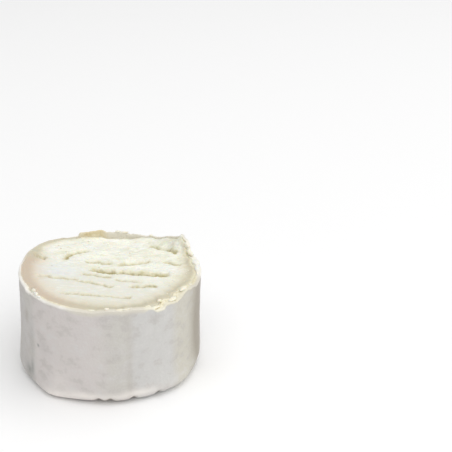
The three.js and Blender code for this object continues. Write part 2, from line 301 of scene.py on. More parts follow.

# Stretches of one tone: of the wall, of the rind's edge, and of the creamline. The wall's warm stretch
# is a painted reflection; the edge's shaded stretch is painted shade, and its tan stretch partly so.
WALL_TONES = dict(
    cool=dict(start=292, end=312, before=7, after=14),
    # painted reflection: a yellower cast on the right of the wall, from the brown log that stood beside
    # it
    warm_reflection=dict(start=322, end=340, before=8, after=8),
    rosy=dict(start=226, end=262, before=10, after=20),
)
EDGE_TONES = dict(
    golden=dict(start=103, end=117, before=7, after=2),
    dull=dict(start=48, end=152, before=6, after=14),
    muted=dict(start=256, end=295, before=10, after=4),
    crust=dict(start=297, end=309, before=4, after=5),
    shaded=dict(start=339, end=352, before=6, after=6),
    creamy=dict(start=312, end=334, before=4, after=6),
    bright=dict(start=2, end=32, before=10, after=6),
    # tan: the back left rim darker, where the rind's inner edge lies in shade; partly painted shade
    tan=dict(start=128, end=168, before=8, after=8),
)
PINK = dict(start=172, end=225, before=14, after=45)

# How far the creamline and its browner part keep and lose their colour, in shares of its reach
CREAM_FADE = (0.5, 2.0)
BROWN_FADE = (0.35, 1.05)

# Mesh density, as numbers of rings and of points round them
PASTE_RINGS = 172
PASTE_SIDE_RINGS = 8
WALL_SEGMENTS = 720
WALL_RINGS = 84
FOOT_RINGS = 5
EDGE_RINGS = 14
RIM_RINGS = 22
INNER_RINGS = 7
HIDDEN_RINGS = 6
HIDDEN_SEGMENTS = 90
PEBBLE_RINGS = (6, 12, 16, 18, 16, 12, 6)
RIM_CROWDING = 1.25           # above 1, the rings over the rind's edge crowd on its outer side

# The camera, as fitted to the photograph: an 80 mm lens on a 36 mm sensor
CAMERA_AT = (44.8 + CUT_CENTRE_X, -341.3, 229.3)
CAMERA_DOWN = 26.65
LENS = 80
SENSOR = 36

# The studio, in metres and watts
FLOOR_HALF = 2.0
SOFTBOX = dict(at=(0.4, -0.3, 1.5), size=3.0, power=37)
WORLD_STRENGTH = 0.37

# The seeded tables that the noise reads
RANDOM = np.random.default_rng(11)
SHUFFLE = RANDOM.permutation(256)
GRADIENTS = RANDOM.normal(size=(256, 3))
GRADIENTS /= np.linalg.norm(GRADIENTS, axis=1, keepdims=True)


def smoothstep(value, low, high):
    t = np.clip((value - low) / (high - low), 0, 1)
    return t * t * (3 - 2 * t)


def lerp(a, b, t):
    return a + (b - a) * t


def chance(i, j):
    """A repeatable random number from 0 to 1 for a whole-numbered place."""
    s = np.sin(i * 127.1 + j * 311.7 + 74.7) * 43758.5453
    return s - np.floor(s)


def noise(u, v, cells=None):
    """Smooth noise from -1 to 1, as the CAD model's. With cells given, it repeats in u."""
    u, v = np.broadcast_arrays(np.asarray(u, float), np.asarray(v, float))
    i, j = np.floor(u), np.floor(v)
    here, beyond = (i, i + 1) if cells is None else (np.mod(i, cells), np.mod(i + 1, cells))
    across, along = smoothstep(u - i, 0, 1), smoothstep(v - j, 0, 1)
    low = lerp(chance(here, j), chance(beyond, j), across)
    high = lerp(chance(here, j + 1), chance(beyond, j + 1), across)
    return 2 * lerp(low, high, along) - 1


def turn(start, end):
    """Shortest way from one angle to another, from -180 to 180."""
    return np.mod(end - start + 180, 360) - 180


def within(angle, stretch):
    """1 inside a stretch of angles, fading to 0 beyond its ends."""
    past = turn((stretch["start"] + stretch["end"]) / 2, angle)
    half = (stretch["end"] - stretch["start"]) / 2
    rising = smoothstep(past, -half - stretch["before"], -half)
    falling = 1 - smoothstep(past, half, half + stretch["after"])
    return np.where(past < 0, rising, falling)


def rim(angle):
    """How far the rind's edge rises above the flat cut, and leans out, at each angle."""
    torn = RAGGED_CALM + sum(s["amount"] * within(angle, s) for s in RAGGED_STRETCHES)
    step = angle / 360 * RAGGED_CELLS
    rise = torn * noise(step, RISE_ROW, RAGGED_CELLS)
    out = 0.5 * torn * noise(step, OUT_ROW, RAGGED_CELLS)
    for stretch in RIM_STRETCHES:
        share = within(angle, stretch)
        rise = rise + share * stretch["rise"]
        out = out + share * stretch["out"]
    return rise, out


def raggedness(angle):
    """0 where the knife cut the rind, 1 where the rind tore."""
    return np.clip(sum(within(angle, s) for s in RAGGED_STRETCHES), 0, 1)


def swelling(angle, z, form):
    """How far a form of the wall reaches out at an angle and height, or how strong a mark is."""
    across = turn(form["angle"], angle) / form["wide"]
    along = (z - form["height"]) / form["high"]
    return form["out"] * np.exp(-across ** 2 - along ** 2)


def wall_radius(angle, z):
    """Radius of the wall about its own centre line."""
    radius = lerp(BASE_RADIUS, CUT_RADIUS, z / HEIGHT)
    cell = angle / 360 * WALL_WAVE_CELLS
    radius = radius + WALL_WAVES * noise(cell, z / WALL_WAVE_HEIGHT, WALL_WAVE_CELLS)
    for form in WALL_FORMS:
        radius = radius + swelling(angle, z, form)
    for fold in FOOT_FOLDS["angles"]:
        radius = radius + swelling(angle, z, dict(FOOT_FOLDS, angle=fold))
    return radius


def foot_inset(z):
    """How far the rounded foot lies in from the wall at a height."""
    turned = np.arccos(1 - np.clip(z / EDGE_ROUND, 0, 1))
    return EDGE_ROUND * (1 - np.sin(turned)) + FOOT_INSET * (1 - turned / (math.pi / 2)) ** 2


def centre_x(z):
    """Where the leaning centre line is at a height."""
    return lerp(BASE_CENTRE_X, CUT_CENTRE_X, np.minimum(z, HEIGHT) / HEIGHT)


def cut_height(x, y):
    """Height of the flat cut at a place measured from its centre."""
    return HEIGHT - FALL_TO_RIGHT * x - FALL_TO_BACK * y


def tear_depth(x, y, narrow=1):
    """How deep the tears go at a place. Below 1, narrow draws their sides in. Above, it spreads them."""
    depth = np.zeros_like(x)
    for tear in TEARS:
        (x0, y0), (x1, y1) = tear["start"], tear["end"]
        length = math.hypot(x1 - x0, y1 - y0)
        course = ((x1 - x0) / length, (y1 - y0) / length)
        forward = (x - x0) * course[0] + (y - y0) * course[1]
        beyond = np.maximum(np.maximum(-forward, forward - length), 0)
        aside = (x - x0) * course[1] - (y - y0) * course[0]
        aside = aside + TEAR_WANDER * noise(forward / 2, tear["depth"] * 10)
        apart = np.hypot(beyond, aside) / (narrow * tear["width"])
        depth = np.maximum(depth, tear["depth"] * np.exp(-apart ** 2))
    return depth


def chunk_height(x, y):
    """How high the chunks beside the rim stand at a place."""
    total = 0
    for chunk in CHUNKS:
        apart = (x - chunk["at"][0]) ** 2 + (y - chunk["at"][1]) ** 2
        total = total + chunk["height"] * np.exp(-apart / chunk["radius"] ** 2)
    return total


def in_hollow(x, y):
    """How far a place lies in the hollow at the back, from 0 to 1."""
    reach = y - BACK_HOLLOW["narrowing"] * np.abs(x - BACK_HOLLOW["middle"])
    return smoothstep(reach, BACK_HOLLOW["start"], BACK_HOLLOW["end"])


def crumbliness(x, y):
    """How crumbly the paste is at a place, from 0 to 1."""
    return smoothstep(y + CRUMBLE["sideways"] * x, CRUMBLE["start"], CRUMBLE["end"])


def grain(points, size, seed=0):
    """Smooth noise in space, about -1 to 1, whose features have the given size or sizes."""
    place = points / np.asarray(size, float) + seed * 31.7
    cell = np.floor(place).astype(int)
    part = place - cell
    ease = part ** 3 * (part * (part * 6 - 15) + 10)
    total = np.zeros(points.shape[:-1])
    for corner in itertools.product((0, 1), repeat=3):
        at = cell + corner
        code = SHUFFLE[at[..., 0] & 255]
        code = SHUFFLE[(code + at[..., 1]) & 255]
        code = SHUFFLE[(code + at[..., 2]) & 255]
        weight = np.prod(np.where(corner, ease, 1 - ease), axis=-1)
        total += weight * np.sum(GRADIENTS[code] * (part - corner), axis=-1)
    return 1.6 * total


def layered(points, size, layers=3, seed=0):
    """Several layers of noise, each half as large and half as strong as the one before."""
    size = np.asarray(size, float)
    return sum(grain(points, size / 2 ** n, seed + n) / 2 ** n for n in range(layers)) / 1.5


def round_table(angle, table, column=1):
    """A value read off a table of angles, running smoothly round the circle."""
    angles = [row[0] for row in table]
    return np.interp(np.mod(angle, 360), angles, [row[column] for row in table], period=360)


def polar(angle, radius, z, middle=None):
    """Points at angles and radii about the centre line at their height."""
    a = np.radians(angle)
    middle = centre_x(z) if middle is None else middle
    return np.stack(np.broadcast_arrays(middle + radius * np.cos(a), radius * np.sin(a), z), -1)


def ring_angles(count):
    return 360 * np.arange(count) / count


def crumbs(points, size, layers=2, seed=0):
    """Rounded lumps with sharp creases between them, from 0 in a crease to about 1."""
    size = np.asarray(size, float)
    total = sum(np.abs(grain(points, size / 2 ** n, seed + n)) / 2 ** n for n in range(layers))
    return total / 0.75


def rind_edge(angle):
    """The rind's edge at each angle: outer radius at the cut, width, and height of its crest."""
    rise, out = rim(angle)
    radius = wall_radius(angle, HEIGHT) + out
    place = polar(angle, radius, HEIGHT)
    torn = raggedness(angle)
    ragged = torn * TORN_GRAIN["amount"] * layered(place, TORN_GRAIN["size"], seed=1)
    ragged = ragged + CUT_GRAIN["amount"] * layered(place, CUT_GRAIN["size"], seed=2)
    x, y = place[..., 0] - CUT_CENTRE_X, place[..., 1]
    width = round_table(angle, ZONES, 1) * (1 + 0.3 * layered(place, 3.0, seed=3))
    return radius, width, cut_height(x, y) + rise + chunk_height(x, y) + ragged


def outer_radius(angle, z, crest):
    """The wall's radius with the rim's lean."""
    share = (z - EDGE_ROUND) / (crest - EDGE_ROUND)
    lean = rim(angle)[1] * smoothstep(share, LEAN_FROM, 1)
    return wall_radius(angle, np.minimum(z, HEIGHT)) + lean


def tear_relief(points, warp, wander):
    """The tears at places of the cut face: hollow, ragged core, tinted halo and pulled-up lip."""
    x, y = points[..., 0], points[..., 1]
    calm = TEAR_WAVER["hollow"]
    hollow = tear_depth(x + calm * wander[..., 0], y + calm * wander[..., 1])
    core = tear_depth(x + wander[..., 0], y + wander[..., 1], TEAR_CORE["narrow"])
    dot_size = (TEAR_CORE["dots"], 4 * TEAR_CORE["dots"], 1)
    core = core * lerp(0.4, 1, smoothstep(layered(points, dot_size, seed=8), -0.4, 0.3))
    near_x, near_y = x + TEAR_WAVER["halo"] * warp[..., 0], y + TEAR_WAVER["halo"] * warp[..., 1]
    halo = tear_depth(near_x, near_y, TEAR_HALO)
    beside = np.clip(tear_depth(near_x, near_y, TEAR_LIP["reach"]) - 1.3 * hollow, 0, 1)
    lip = beside * smoothstep(layered(points, (2.2, 1.4, 1), seed=9), -0.3, 0.5)
    return hollow, core, halo, TEAR_LIP["height"] * lip


def paste_level(x, y, angle, inward):
    """The paste's height without tears and crumb, at places lying so far in from the rind."""
    rise = rim(angle)[0]
    climbing = within(angle, CLIMB)
    climb = CLIMB["share"] * climbing * np.exp(-(inward / CLIMB["width"]) ** 2)
    sag = lerp(BACK_HOLLOW["drop"] * in_hollow(x, y), -rise, climb)
    cling = CLING_SHARE * (1 - climbing) * np.exp(-(inward / CLING_WIDTH) ** 2)
    return cut_height(x, y) - sag + chunk_height(x, y) + cling * np.clip(rise, 0, CLING_MOST)


def creamline(points, angle, inward):
    """How strong the creamline is at places of the cut face, and its browner part by the rind."""
    reach = round_table(angle, ZONES, 2) * (1 + 0.16 * layered(points, 3.5, layers=2, seed=20))
    strength = round_table(angle, ZONES, 3)
    cream = strength * (1 - smoothstep(inward, CREAM_FADE[0] * reach, CREAM_FADE[1] * reach))
    brown = strength * smoothstep(inward, -1.2, 1.0)
    return cream, brown * (1 - smoothstep(inward, BROWN_FADE[0] * reach, BROWN_FADE[1] * reach))


def pale_patch(x, y):
    """How far a place lies in the smoothest and palest part of the cut face."""
    across = (x - PALE_PATCH["at"][0]) / PALE_PATCH["half"][0]
    along = (y - PALE_PATCH["at"][1]) / PALE_PATCH["half"][1]
    return np.exp(-across ** 2 - along ** 2)


def paste_surface(x, y, angle, inward):
    """The torn cut face at places measured from its centre, lying so far in from the rind.

    Gives the height and the masks that the paste's material reads.
    """
    flat = np.zeros_like(x)
    points = np.stack([x, y, flat], -1)
    rough = crumbliness(x, y)
    middle = smoothstep(inward, *CRUMB_SETS_IN)
    warp = np.stack([grain(points, 2.4, seed=4), grain(points, 2.4, seed=5), flat], -1)
    fine_warp = np.stack([grain(points, 0.9, seed=6), grain(points, 0.9, seed=7), flat], -1)
    wander = TEAR_WAVER["broad"] * warp + TEAR_WAVER["fine"] * fine_warp
    hollow, core, halo, lip = tear_relief(points, warp, wander)

    seam = np.abs(grain(points + warp, FISSURES["size"], seed=17))
    fissure = (1 - smoothstep(seam, 0, FISSURES["half_width"])) * middle * lerp(0.35, 1, rough)
    fissure = fissure * smoothstep(grain(points, 6.0, seed=18), -0.2, 0.3)
    gap = within(angle, GAP)
    width = lerp(JOIN_WIDTH, GAP_WIDTH, gap)
    groove = np.exp(-((inward - 0.3 * width) / width) ** 2)

    height = paste_level(x, y, angle, inward) - TEAR_HOLLOW * hollow - TEAR_CORE["depth"] * core + lip
    unevenness = lerp(CRUMBLE["smooth"], CRUMBLE["rough"], rough)
    height = height + unevenness * noise(x / CRUMB_LONG, y / CRUMB_SHORT)
    lumps = crumbs(points + 0.5 * warp, PASTE_CRUMBS["size"], seed=10)
    torn_up = np.clip(rough + 0.5 * halo, 0, 1)
    lumpy = lerp(PASTE_CRUMBS["smooth"], PASTE_CRUMBS["rough"], torn_up)
    lumpy = lumpy * (1 + CHUNK_LUMPS["more"] * np.clip(chunk_height(x, y), 0, CHUNK_LUMPS["most"]))
    height = height + lumpy * lerp(lerp(0.3, 0.8, rough), 1, middle) * (lumps - 0.6)
    fine = layered(points, PASTE_GRAIN["size"], layers=2, seed=14)
    height = height + lerp(PASTE_GRAIN["smooth"], PASTE_GRAIN["rough"], rough) * fine
    height = height - FISSURES["depth"] * fissure - lerp(JOIN_DEPTH, GAP_DEPTH, gap) * groove

    cream, brown = creamline(points, angle, inward)
    # The core mask darkens the tears' deepest parts to olive brown in the finish: partly the paste's
    # colour, partly painted shade.
    masks = dict(core=np.clip(0.95 * core, 0, 1), halo=np.clip(halo, 0, 1), fissure=fissure,
                 # The gap mask lets the finish lighten the groove beside the rind: painted light against
                 # its shade.
                 lumps=lumps, cream=cream, brown=brown, gap=gap * groove,
                 pink=within(angle, PINK), crumbly=rough, pale=pale_patch(x, y))
    return height, masks


def stitch(start_a, count_a, start_b, count_b):
    """Triangles that join two rings of points, walking round both at once."""
    due = np.concatenate([(np.arange(count_a) + 0.5) / count_a, (np.arange(count_b) + 0.5) / count_b])
    step_a = (np.argsort(due, kind="stable") < count_a).astype(int)
    step_b = 1 - step_a
    at_a, at_b = np.cumsum(step_a) - step_a, np.cumsum(step_b) - step_b
    tip = np.where(step_a, start_a + (at_a + 1) % count_a, start_b + (at_b + 1) % count_b)
    return np.stack([start_a + at_a % count_a, tip, start_b + at_b % count_b], 1)


def body_of_rings(name, rings, masks):
    """A closed mesh from rings of points, the first and last of which close on their middles."""
    starts = np.cumsum([0] + [len(ring) for ring in rings])
    triangles = [stitch(starts[n], len(rings[n]), starts[n + 1], len(rings[n + 1]))
                 for n in range(len(rings) - 1)]
    ends = [(rings[0], starts[0], -1), (rings[-1], starts[-2], 1)]
    caps = [ring.mean(axis=0) for ring, _, _ in ends]
    for n, (ring, start, way) in enumerate(ends):
        triangles.append(cap(start, len(ring), starts[-1] + n, way))
    masks = {key: np.append(values, np.zeros(len(caps))) for key, values in masks.items()}
    return new_piece(name, np.concatenate(rings + [np.array(caps)]), triangles, masks)


def cap(start, count, tip, way):
    """Triangles from a ring's points to a tip, facing the other way round where way is -1."""
    here = start + np.arange(count)
    return np.stack([np.full(count, tip), here, np.roll(here, -1)][::way], 1)


def new_piece(name, points, triangles, masks):
    """A smooth mesh from points in millimetres, with the masks that its material reads."""
    mesh = bpy.data.meshes.new(name)
    mesh.from_pydata((points * METRES).tolist(), [], np.concatenate(triangles).tolist())
    mesh.shade_smooth()
    for key, values in masks.items():
        mesh.attributes.new(key, "FLOAT", "POINT").data.foreach_set("value", values)
    return link(name, mesh)


def link(name, data):
    """A new object that shows a mesh, light or camera."""
    thing = bpy.data.objects.new(name, data)
    bpy.context.collection.objects.link(thing)
    return thing


def split(values, counts):
    """Cuts one long array into rings of the given counts."""
    return np.split(values, np.cumsum(counts)[:-1])


def make_paste():
    """The paste: its torn face as a web whose ring k holds 6k points, and its sides inside the rind."""
    counts = [6 * k for k in range(PASTE_RINGS, 0, -1)]
    angle = np.concatenate([ring_angles(n) for n in counts])
    share = np.concatenate([np.full(n, n / counts[0]) for n in counts])
    radius, width, _ = rind_edge(angle)
    inner = radius - width
    reach = (inner + PASTE_OVERLAP) * share
    x, y = place_at(angle, reach)
    height, masks = paste_surface(x, y, angle, inner - reach)
    web = split(np.stack([x + CUT_CENTRE_X, y, height], -1), counts)

    hidden = ring_angles(HIDDEN_SEGMENTS)
    levels = np.linspace(PASTE_BOTTOM, PASTE_TOP, PASTE_SIDE_RINGS)
    sides = [polar(hidden, wall_radius(hidden, z) - foot_inset(z) - PASTE_INSET, z) for z in levels]
    shoulder = web[0] - [0, 0, PASTE_SHOULDER]
    rings = sides + [shoulder] + web
    unseen = np.zeros(sum(len(ring) for ring in rings) - len(angle))
    masks = {key: np.concatenate([unseen, values]) for key, values in masks.items()}
    return body_of_rings("cheese_paste", rings, masks)


def foot_and_wall(angle, crest):
    """Rings of the rind from the foot up to the bevel of its edge, each with its edge mask."""
    foot = wall_radius(angle, 0) - EDGE_ROUND - FOOT_INSET
    for n in range(1, FOOT_RINGS + 1):
        step = 2 ** (FOOT_RINGS - n)
        yield polar(angle, foot * n / (FOOT_RINGS + 1), 0.0)[::step], 0.0
    for tilt in np.linspace(0, 90, EDGE_RINGS):
        z = EDGE_ROUND * (1 - math.cos(math.radians(tilt)))
        yield roughened(polar(angle, wall_radius(angle, z) - foot_inset(z), z), angle), 0.0
    spill = lerp(SPILL["thin"], SPILL["crust"], within(angle, EDGE_TONES["crust"]))
    spill = lerp(spill, SPILL["muted"], within(angle, EDGE_TONES["muted"]))
    for share in np.linspace(0, 1, WALL_RINGS)[1:]:
        z = lerp(EDGE_ROUND, crest - RIND_BEVEL, share)
        ring = roughened(polar(angle, outer_radius(angle, z, crest), z), angle)
        yield ring, 1 - smoothstep(crest - z, RIND_BEVEL, spill)


def over_the_edge(angle, radius, width, crest, lip):
    """Rings over the rind's edge, from the wall in to the creamline, each with its inside mask."""
    relief = lerp(CUT_GRAIN["amount"], TORN_GRAIN["amount"], raggedness(angle))
    for share in np.linspace(0, 1, RIM_RINGS) ** RIM_CROWDING:
        blunt = np.clip(1 - share * width / RIND_BEVEL, 0, 1) ** 2
        blunt = blunt + 0.6 * np.clip(1 - (1 - share) * width / RIND_BEVEL, 0, 1) ** 2
        ring = polar(angle, radius - share * width, HEIGHT)
        bumps = relief * (crumbs(ring, 1.5, 3, seed=21) - 0.5)
        sloping = smoothstep(share * width, 0.8, np.maximum(width, 1.2)) * smoothstep(width, 1.2, 2.2)
        ring[:, 2] = lerp(crest, np.minimum(crest, lip), sloping) - 0.7 * RIND_BEVEL * blunt
        ring[:, 2] += bumps * np.sin(math.pi * share)
        yield ring, smoothstep(share * width, 0.3, 2.2)


def down_inside(angle, width, crest, top, paste):
    """Rings of the rind's inner face, down to a little below the paste's surface."""
    flakiness = lerp(0.12, 0.3, raggedness(angle))
    for share in np.linspace(0, 1, INNER_RINGS)[1:]:
        z = lerp(top, paste - 2, share)
        ring = polar(angle, outer_radius(angle, z, crest) - width, z)
        flaky = flakiness * layered(ring, (1.6, 1.6, 1.0), seed=25)
        ring[:, :2] += flaky[:, None] * unit(angle)
        yield ring


def make_rind():
    """The rind: a skin from the middle of the foot, up the wall, over its edge and down inside."""
    angle = ring_angles(WALL_SEGMENTS)
    radius, width, crest = rind_edge(angle)
    paste = paste_surface(*place_at(angle, radius - width), angle, np.zeros_like(angle))[0]
    rings, edge, inside = [], [], []

    def add(ring, edge_mask=0.0, inside_mask=0.0):
        rings.append(ring)
        edge.append(np.broadcast_to(edge_mask, len(ring)))
        inside.append(np.broadcast_to(inside_mask, len(ring)))

    for ring, edge_mask in foot_and_wall(angle, crest):
        add(ring, edge_mask)
    for ring, inside_mask in over_the_edge(angle, radius, width, crest, paste + CRUST_LIP):
        add(ring, 1, inside_mask)
    for ring in down_inside(angle, width, crest, rings[-1][:, 2], paste):
        add(ring, 1, 0.6)
    hidden = ring_angles(HIDDEN_SEGMENTS)
    for z in np.linspace(SKIN_TOP, SKIN_BOTTOM, HIDDEN_RINGS):
        add(polar(hidden, wall_radius(hidden, z) - RIND_THICKNESS, z))

    masks = dict(edge=np.concatenate(edge), inside=np.concatenate(inside))
    masks.update(wall_marks(np.concatenate(rings)))
    return body_of_rings("cheese_rind", rings, masks)


def place_at(angle, radius):
    """The x and y of a place at an angle and radius about the centre of the cut."""
    return radius * np.cos(np.radians(angle)), radius * np.sin(np.radians(angle))


def unit(angle):
    """Directions straight out at each angle."""
    return np.stack([np.cos(np.radians(angle)), np.sin(np.radians(angle))], -1)


def roughened(ring, angle):
    """A ring of the wall with the rind's soft unevenness, which fades towards the flat foot."""
    bump = WALL_GRAIN["amount"] * layered(ring, WALL_GRAIN["size"], layers=2, seed=30)
    bump = bump + FUZZ_GRAIN["amount"] * grain(ring, FUZZ_GRAIN["size"], seed=33)
    bump = bump * smoothstep(ring[:, 2], 0, 2.5)
    ring = ring.copy()
    ring[:, :2] += bump[:, None] * unit(angle)
    return ring


def wall_marks(points):
    """Masks at each point for the marks of the wall, some of them painted light and shade, and for the
    tones of the wall and the edge.
    """
    angle = np.degrees(np.arctan2(points[:, 1], points[:, 0] - centre_x(points[:, 2])))
    z = points[:, 2]
    fold_shades = [dict(FOLD_SHADE_MARKS, angle=fold) for fold in FOLD_SHADE_MARKS["angles"]]
    kinds = dict(grey=GREY_MARKS, brown=BROWN_SPOTS_AND_PAINTED_SHADE, pale=PALE_LIP_AND_PAINTED_LIGHT, fold=fold_shades)
    masks = {}
    for key, marks in kinds.items():
        masks[key] = np.clip(sum(swelling(angle, z, mark) for mark in marks), 0, 1)
    for key, stretch in {**WALL_TONES, **EDGE_TONES}.items():
        masks[key] = within(angle, stretch)
    return masks


def lump(middle, half, along, seed):
    """Points and triangles of one uneven pebble, with its long axis turned to the angle along."""
    counts = PEBBLE_RINGS
    rings = []
    for tilt, count in zip(np.radians(np.linspace(-75, 75, len(counts))), counts):
        rings.append(polar(ring_angles(count), math.cos(tilt), math.sin(tilt), middle=0))
    shape = np.concatenate(rings + [[[0, 0, -1.0], [0, 0, 1.0]]])
    shape = shape * (1 + 0.45 * layered(shape, 1.0, seed=seed)[:, None]) * half
    c, s = math.cos(math.radians(along)), math.sin(math.radians(along))
    spin = np.array([[c, -s, 0], [s, c, 0], [0, 0, 1]])
    starts = np.cumsum((0,) + counts)
    triangles = [stitch(starts[n], counts[n], starts[n + 1], counts[n + 1])
                 for n in range(len(counts) - 1)]
    triangles.append(cap(starts[0], counts[0], starts[-1], -1))
    triangles.append(cap(starts[-2], counts[-1], starts[-1] + 1, 1))
    return shape @ spin.T + middle, np.concatenate(triangles)


def join_lumps(name, lumps, whites):
    """One mesh of many lumps, each with its own whiteness."""
    points, triangles, start = [], [], 0
    for shape, corners in lumps:
        points.append(shape)
        triangles.append(corners + start)
        start += len(shape)
    white = np.repeat(whites, [len(shape) for shape in points])
    return new_piece(name, np.concatenate(points), triangles, dict(white=white))


def make_flakes():
    """Flakes and nubs of rind along the rim, half sunk in it."""
    lumps = []
    for n, flake in enumerate(FLAKES):
        angle = flake["angle"]
        x, y = place_at(angle, CUT_RADIUS - flake["inset"])
        middle = np.array([x + CUT_CENTRE_X, y, cut_height(x, y) + flake["up"]])
        lumps.append(lump(middle, np.array(flake["half"]), angle + 90, seed=40 + n))
    return join_lumps("rind_flakes", lumps, [flake["white"] for flake in FLAKES])


def make_crumbs():
    """Small crumbs of paste that lie on the torn face, more of them at the back right."""
    chances = np.random.default_rng(5)
    lumps, whites = [], []
    while len(lumps) < CRUMB_COUNT:
        angle = chances.uniform(0, 360)
        reach = CRUMB_REACH * math.sqrt(chances.uniform(0, 1))
        x, y = place_at(angle, reach)
        if chances.uniform(0, 1) > 0.2 + crumbliness(x, y):
            continue
        here = [np.array([value]) for value in (x, y, angle, CUT_RADIUS - 1 - reach)]
        size = chances.uniform(*CRUMB_SIZES) * np.array(CRUMB_STRETCH)
        middle = np.array([x + CUT_CENTRE_X, y, paste_surface(*here)[0][0] + 0.3 * size[2]])
        lumps.append(lump(middle, size, chances.uniform(-30, 30), seed=len(lumps)))
        whites.append(chances.uniform(0, 0.5))
    return join_lumps("paste_crumbs", lumps, whites)


def linear(*colour):
    """An sRGB colour, 0 to 255, as the linear colour that the shaders take."""
    channels = [c / 255 / 12.92 if c <= 10 else ((c / 255 + 0.055) / 1.055) ** 2.4 for c in colour]
    return (*channels, 1.0)


class Finish:
    """A material with short calls for the few nodes that the cheese needs."""

    def __init__(self, name, roughness):
        self.material = bpy.data.materials.new(name)
        self.material.use_nodes = True
        self.nodes = self.material.node_tree.nodes
        self.links = self.material.node_tree.links
        self.shader = self.nodes["Principled BSDF"]
        self.shader.inputs["Roughness"].default_value = roughness
        self.place = self.nodes.new("ShaderNodeTexCoord").outputs["Object"]

    def feed(self, socket, value):
        if isinstance(value, bpy.types.NodeSocket):
            self.links.new(value, socket)
        else:
            socket.default_value = value

    def mask(self, name):
        node = self.nodes.new("ShaderNodeAttribute")
        node.attribute_name = name
        return node.outputs["Fac"]

    def speckle(self, size, stretch=(1, 1, 1), detail=3, roughness=0.55):
        """Noise whose features measure size millimetres, longer where stretch is more than 1."""
        node = self.nodes.new("ShaderNodeMapping")
        self.feed(node.inputs["Vector"], self.place)
        node.inputs["Scale"].default_value = [1 / (size * METRES * s) for s in stretch]
        texture = self.nodes.new("ShaderNodeTexNoise")
        self.feed(texture.inputs["Vector"], node.outputs["Vector"])
        texture.inputs["Scale"].default_value = 1
        texture.inputs["Detail"].default_value = detail
        texture.inputs["Roughness"].default_value = roughness
        return texture.outputs["Fac"]

    def ramp(self, value, low, high, start=0, end=1):
        node = self.nodes.new("ShaderNodeMapRange")
        node.interpolation_type = "SMOOTHSTEP"
        self.feed(node.inputs["Value"], value)
        ends = {"From Min": low, "From Max": high, "To Min": start, "To Max": end}
        for socket, number in ends.items():
            node.inputs[socket].default_value = number
        return node.outputs["Result"]

    def math(self, operation, a, b):
        node = self.nodes.new("ShaderNodeMath")
        node.operation = operation
        self.feed(node.inputs[0], a)
        self.feed(node.inputs[1], b)
        return node.outputs["Value"]

    def mix(self, share, below, above):
        node = self.nodes.new("ShaderNodeMix")
        node.data_type = "RGBA"
        self.feed(node.inputs[0], share)
        self.feed(node.inputs[6], below)
        self.feed(node.inputs[7], above)
        return node.outputs[2]

    def product(self, a, b):
        return self.math("MULTIPLY", a, b)

    def tint(self, colour, mask, strength, *tone):
        """Lays a tone over a colour as strongly as a mask of the mesh says."""
        return self.mix(self.product(self.mask(mask), strength), colour, linear(*tone))

    def bump(self, height, depth):
        """Fine relief of depth millimetres, which the mesh is too coarse for."""
        node = self.nodes.new("ShaderNodeBump")
        node.inputs["Distance"].default_value = depth * METRES
        self.feed(node.inputs["Height"], height)
        self.feed(self.shader.inputs["Normal"], node.outputs["Normal"])


def crumb_colour(finish, flecks, clouds):
    """Ivory paste: pale and even where it is smooth, with patches where it crumbles, and painted shade
    in its creases.
    """
    crumbly = finish.mask("crumbly")
    ivory = finish.mix(finish.ramp(clouds, 0.38, 0.62), linear(240, 240, 228), linear(245, 245, 231))
    smooth = finish.mix(finish.mask("pale"), linear(232, 231, 220), linear(231, 233, 232))
    colour = finish.mix(crumbly, smooth, ivory)
    patches = finish.ramp(finish.speckle(4.5, stretch=(2.2, 1, 1)), 0.52, 0.36)
    patches = finish.product(finish.product(patches, crumbly), 0.6)
    colour = finish.mix(patches, colour, linear(228, 228, 207))
    dry = finish.ramp(finish.speckle(7, stretch=(1.6, 1, 1)), 0.5, 0.62)
    dry = finish.product(finish.product(dry, crumbly), 0.55)
    colour = finish.mix(dry, colour, linear(242, 243, 240))
    # painted shade: tan in the creases between the crumb's lumps
    creases = finish.product(finish.ramp(finish.mask("lumps"), 0.4, 0.02), crumbly)
    colour = finish.mix(finish.product(creases, 0.45), colour, linear(227, 224, 201))
    colour = finish.mix(finish.ramp(flecks, 0.48, 0.34, 0, 0.25), colour, linear(228, 226, 204))
    return finish.mix(finish.ramp(flecks, 0.54, 0.7, 0, 0.45), colour, linear(251, 250, 243))


def tear_colour(finish, flecks, colour):
    """Yellower paste in the fissures and round the tears, and olive brown in the tears' cores: partly
    the paste's colour, partly painted shade.
    """
    colour = finish.tint(colour, "fissure", 0.35, 212, 206, 170)
    halo = finish.product(finish.mask("halo"), finish.ramp(flecks, 0.3, 0.65, 1.0, 0.6))
    colour = finish.mix(halo, colour, linear(219, 213, 178))
    # partly painted shade: olive brown in the tears' deepest parts
    return finish.mix(finish.mask("core"), colour, linear(162, 149, 98))


def creamline_colour(finish, clouds, colour):
    """The tan creamline along the rind, pinker on the left, and painted light that lifts the shade in
    the gap beside the rind.
    """
    pink = finish.mask("pink")
    tan = finish.mix(pink, linear(222, 216, 194), linear(227, 216, 197))
    deep = finish.mix(pink, linear(202, 195, 171), linear(206, 190, 170))
    patchy = finish.ramp(clouds, 0.3, 0.7, 0.85, 1)
    colour = finish.mix(finish.product(finish.mask("cream"), patchy), colour, tan)
    colour = finish.mix(finish.product(finish.mask("brown"), 0.9), colour, deep)
    # painted light: the gap beside the rind lighter and yellower, against the shade that falls into it
    return finish.tint(colour, "gap", 0.8, 230, 224, 196)


